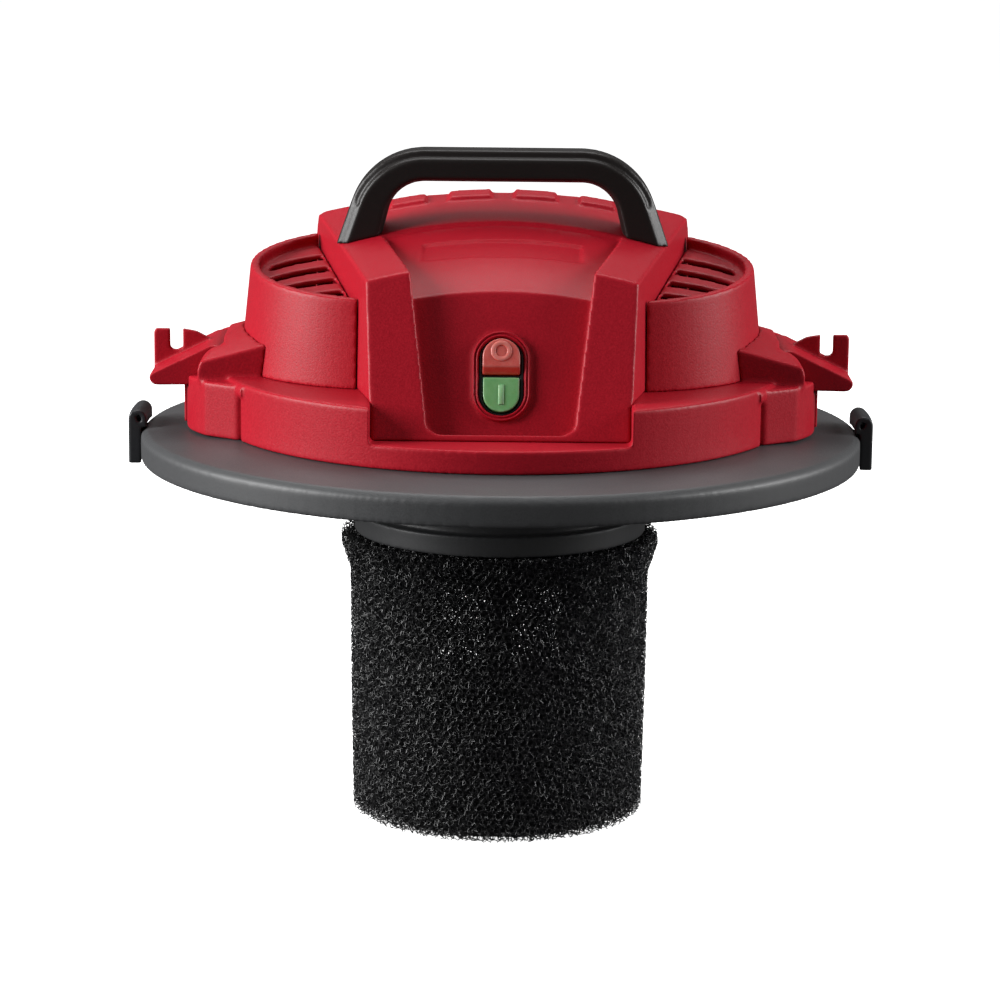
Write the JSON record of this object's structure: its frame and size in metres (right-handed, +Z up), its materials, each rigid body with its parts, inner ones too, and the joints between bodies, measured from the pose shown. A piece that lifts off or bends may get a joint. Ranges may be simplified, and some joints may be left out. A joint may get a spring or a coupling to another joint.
{
  "type": "shop vacuum power head",
  "caption": "Wet and dry shop vacuum power head with a round lid, red motor housing, carry handle, push-button switch, side latches and a foam filter sleeve.",
  "frame": {"origin": "centre of the foot of the foam sleeve, on the surface that the head stands on", "axes": "+Z up along the motor's axis; -Y towards the switch panel, which is the front; +X to the right of a viewer who faces the switch"},
  "size_m": [0.331, 0.32, 0.2978],
  "materials": {
    "foam": "open-cell reticulated foam, matt black",
    "charcoal_plastic": "dark grey moulded plastic with a fine grain",
    "float_plastic": "smooth hollow float",
    "rubber": "soft black rubber",
    "screw_steel": "zinc-plated steel",
    "catch_plastic": "near-black moulded plastic",
    "red_plastic": "red moulded plastic with a fine grain",
    "handle_plastic": "brown-black satin plastic",
    "switch_black": "black plastic",
    "off_red": "translucent red cap",
    "on_green": "translucent green cap",
    "sheet_steel": "pressed sheet steel",
    "cast_aluminium": "die-cast aluminium",
    "lamination_steel": "varnished steel laminations",
    "copper_wire": "enamelled copper",
    "carbon": "pressed carbon",
    "brass_part": "folded brass",
    "terminal_plastic": "white plastic",
    "capacitor_film": "yellow film wrap"
  },
  "bodies": {
    "root": {"filter_cage": "charcoal_plastic", "float_seat_seal": "rubber", "filter_collar": "charcoal_plastic", "collar_screws": "screw_steel", "lid": "charcoal_plastic", "tank_gasket": "rubber", "rim_catch_left": "catch_plastic", "rim_catch_right": "catch_plastic", "lower_housing": "red_plastic", "lower_housing_screws": "screw_steel", "vent_housing_left": "red_plastic", "vent_housing_right": "red_plastic", "top_cover": "red_plastic", "cover_screws": "screw_steel", "handle": "handle_plastic", "handle_screws": "screw_steel", "latch_pin_left": "screw_steel", "latch_pin_right": "screw_steel", "latch_spring_left": "screw_steel", "latch_spring_right": "screw_steel", "switch_frame": "switch_black", "switch_body": "switch_black", "motor_gasket": "rubber", "fan_housing": "sheet_steel", "motor_screws": "screw_steel", "lower_bracket": "cast_aluminium", "lower_bearing": "screw_steel", "stator_core": "lamination_steel", "field_coils": "copper_wire", "upper_bracket": "cast_aluminium", "upper_bearing": "screw_steel", "carbon_brushes": "carbon", "brush_holders": "brass_part", "brush_springs": "screw_steel", "exhaust_duct": "charcoal_plastic", "blow_port": "charcoal_plastic", "cord_inlet": "rubber", "terminal_block": "terminal_plastic", "suppressor_capacitor": "capacitor_film"},
    "foam_sleeve": {"foam_filter": "foam"},
    "float": {"float_ball": "float_plastic"},
    "rotor": {"rotor_core": "lamination_steel", "armature_windings": "copper_wire", "commutator": "copper_wire", "motor_shaft": "screw_steel", "impeller": "sheet_steel", "fan_nut": "screw_steel", "cooling_fan": "charcoal_plastic"},
    "off_push": {"off_button": "off_red"},
    "on_push": {"on_button": "on_green"},
    "latch_l": {"latch_left": "red_plastic"},
    "latch_r": {"latch_right": "red_plastic"}
  },
  "joints": [
    {"name": "foam_pull_off", "type": "slide", "parent": "root", "child": "foam_sleeve", "axis": [0, 0, -1], "range_m": [0, 0.13]},
    {"name": "float_rise", "type": "slide", "parent": "root", "child": "float", "axis": [0, 0, 1], "range_m": [0, 0.108]},
    {"name": "rotor_spin", "type": "hinge", "parent": "root", "child": "rotor", "pos_m": [0, 0, 0.2], "axis": [0, 0, 1], "continuous": true},
    {"name": "off_press", "type": "slide", "parent": "root", "child": "off_push", "axis": [0, 0.9311, -0.3649], "range_m": [0, 0.003], "stiffness_N_per_m": 400, "springref_m": -0.002},
    {"name": "on_press", "type": "slide", "parent": "root", "child": "on_push", "axis": [0, 0.9311, -0.3649], "range_m": [0, 0.003], "stiffness_N_per_m": 400, "springref_m": -0.002},
    {"name": "latch_left_lift", "type": "hinge", "parent": "root", "child": "latch_l", "pos_m": [-0.1255, 0, 0.2045], "axis": [0, 1, 0], "range_deg": [0, 8], "stiffness_Nm_per_rad": 1.5, "springref_deg": -5.73},
    {"name": "latch_right_lift", "type": "hinge", "parent": "root", "child": "latch_r", "pos_m": [0.1255, 0, 0.2045], "axis": [0, -1, 0], "range_deg": [0, 8], "stiffness_Nm_per_rad": 1.5, "springref_deg": -5.73}
  ]
}
